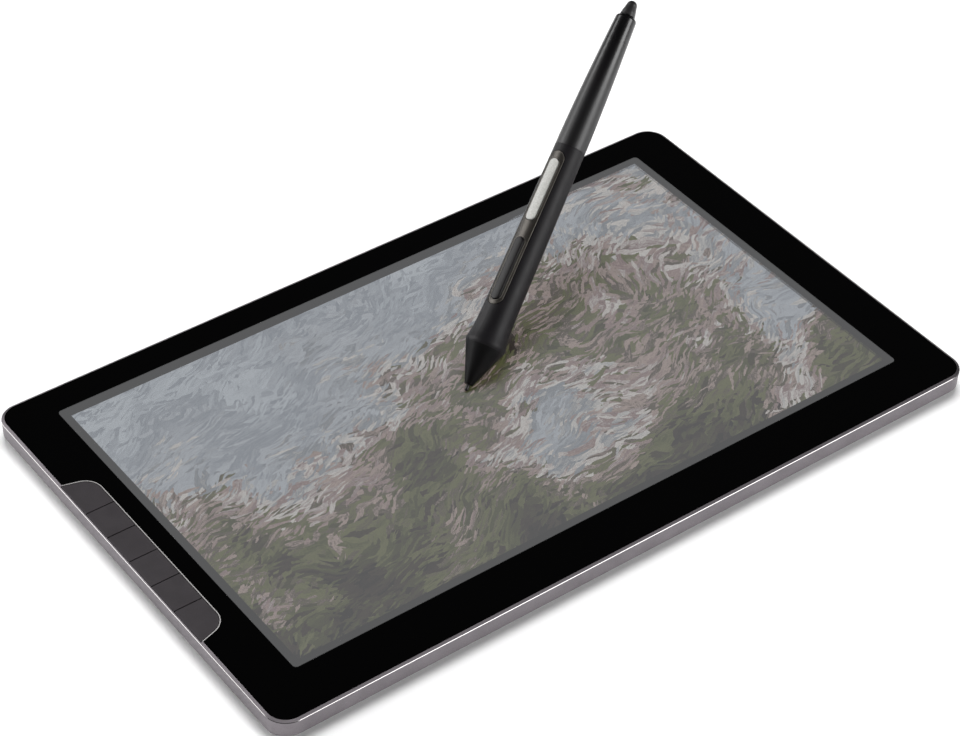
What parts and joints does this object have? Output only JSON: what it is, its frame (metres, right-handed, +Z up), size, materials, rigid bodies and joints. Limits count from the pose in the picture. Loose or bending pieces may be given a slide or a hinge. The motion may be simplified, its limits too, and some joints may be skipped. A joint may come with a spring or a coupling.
{
  "type": "graphics tablet with screen",
  "caption": "Pen display with an edge-to-edge glass front, a metal frame, flush shortcut keys on the left edge, a surface film and a pen with side buttons standing on it.",
  "frame": {"origin": "middle of the tablet's plan, on the plane of its rubber feet", "axes": "+X to the right along the long side, +Y away from the user, +Z up out of the screen"},
  "size_m": [0.3004, 0.1826, 0.1041],
  "materials": {
    "frame_metal": "bead-blasted and anodised grey, cut edges bright",
    "rear_plastic": "fine texture",
    "black_glass": "polished, black printed border",
    "clear_film": "hazy clear sheet",
    "clear_bond": "clear adhesive",
    "lcd": "panel glass",
    "white_sheet": "white optical sheet",
    "steel_sheet": "plain sheet",
    "shield_alloy": "plain sheet",
    "circuit_green": "solder resist",
    "chip_black": "moulded epoxy",
    "socket_cream": "moulded nylon",
    "ribbon": "laminated ribbon",
    "flex_amber": "polyimide",
    "thermal_grey": "soft pad",
    "tape_black": "foam tape",
    "screw_steel": "plain",
    "led_yellow": "LED strip",
    "foot_rubber": "matt",
    "key_plastic": "fine matt",
    "power_metal": "anodised",
    "nib_plastic": "hard acetal",
    "pen_soft": "soft-touch",
    "pen_cone": "satin",
    "pen_gloss": "gloss",
    "pen_surround": "satin",
    "pen_button_dark": "satin",
    "pen_button_silver": "silver paint",
    "ferrite": "sintered",
    "copper": "enamelled wire"
  },
  "bodies": {
    "tablet": {"mid_frame": "frame_metal", "rear_cover": "rear_plastic", "front_glass": "black_glass", "glass_gasket": "tape_black", "optical_bond": "clear_bond", "lcd_panel": "lcd", "diffuser_films": "white_sheet", "light_guide": "white_sheet", "reflector_sheet": "white_sheet", "led_strip": "led_yellow", "backlight_tray": "steel_sheet", "sensor_board": "circuit_green", "shield_plate": "shield_alloy", "driver_board": "circuit_green", "panel_flex": "flex_amber", "display_ribbon": "ribbon", "sensor_ribbon": "flex_amber", "key_ribbon": "ribbon", "main_board": "circuit_green", "main_chip": "chip_black", "small_chips": "chip_black", "ribbon_sockets": "socket_cream", "thermal_pad": "thermal_grey", "board_screws": "screw_steel", "usb_shells": "steel_sheet", "usb_tongues": "chip_black", "power_switch": "socket_cream", "key_board": "circuit_green", "key_switches": "screw_steel", "case_screws": "screw_steel", "rubber_feet": "foot_rubber"},
    "film": {"surface_film": "clear_film"},
    "pen": {"pen_nose_cone": "pen_cone", "pen_grip": "pen_soft", "pen_upper_barrel": "pen_gloss", "pen_button_surround": "pen_surround", "pen_ferrite_core": "ferrite", "pen_coil": "copper", "pen_pressure_sensor": "steel_sheet", "pen_board": "circuit_green", "pen_switches": "socket_cream", "pen_tail_switch": "socket_cream"},
    "nib": {"pen_nib": "nib_plastic"},
    "lower_button": {"pen_lower_button": "pen_button_dark"},
    "upper_button": {"pen_upper_button": "pen_button_silver"},
    "tail_tip": {"pen_tail_tip": "pen_gloss"},
    "power": {"power_button": "power_metal"},
    "key_1": {"shortcut_key_1": "key_plastic"},
    "key_2": {"shortcut_key_2": "key_plastic"},
    "key_3": {"shortcut_key_3": "key_plastic"},
    "key_4": {"shortcut_key_4": "key_plastic"},
    "key_5": {"shortcut_key_5": "key_plastic"},
    "key_6": {"shortcut_key_6": "key_plastic"}
  },
  "joints": [
    {"name": "film_lift", "type": "slide", "parent": "tablet", "child": "film", "axis": [0, 0, 1], "range_m": [0, 0.02]},
    {"name": "pen_lift", "type": "slide", "parent": "film", "child": "pen", "axis": [0, 0, 1], "range_m": [0, 0.06]},
    {"name": "nib_press", "type": "slide", "parent": "pen", "child": "nib", "axis": [0.7271, 0.3452, 0.5934], "range_m": [0, 0.0005], "stiffness_N_per_m": 2000},
    {"name": "lower_button_press", "type": "slide", "parent": "pen", "child": "lower_button", "axis": [0.638, -0.0207, -0.7697], "range_m": [0, 0.0004], "stiffness_N_per_m": 2500},
    {"name": "upper_button_press", "type": "slide", "parent": "pen", "child": "upper_button", "axis": [0.638, -0.0207, -0.7697], "range_m": [0, 0.0004], "stiffness_N_per_m": 2500},
    {"name": "tail_press", "type": "slide", "parent": "pen", "child": "tail_tip", "axis": [-0.7271, -0.3452, -0.5934], "range_m": [0, 0.0004], "stiffness_N_per_m": 2500},
    {"name": "power_press", "type": "slide", "parent": "tablet", "child": "power", "axis": [-1, 0, 0], "range_m": [0, 0.0004], "stiffness_N_per_m": 2500},
    {"name": "key_1_press", "type": "slide", "parent": "tablet", "child": "key_1", "axis": [0, 0, -1], "range_m": [0, 0.0004], "stiffness_N_per_m": 2500},
    {"name": "key_2_press", "type": "slide", "parent": "tablet", "child": "key_2", "axis": [0, 0, -1], "range_m": [0, 0.0004], "stiffness_N_per_m": 2500},
    {"name": "key_3_press", "type": "slide", "parent": "tablet", "child": "key_3", "axis": [0, 0, -1], "range_m": [0, 0.0004], "stiffness_N_per_m": 2500},
    {"name": "key_4_press", "type": "slide", "parent": "tablet", "child": "key_4", "axis": [0, 0, -1], "range_m": [0, 0.0004], "stiffness_N_per_m": 2500},
    {"name": "key_5_press", "type": "slide", "parent": "tablet", "child": "key_5", "axis": [0, 0, -1], "range_m": [0, 0.0004], "stiffness_N_per_m": 2500},
    {"name": "key_6_press", "type": "slide", "parent": "tablet", "child": "key_6", "axis": [0, 0, -1], "range_m": [0, 0.0004], "stiffness_N_per_m": 2500}
  ]
}
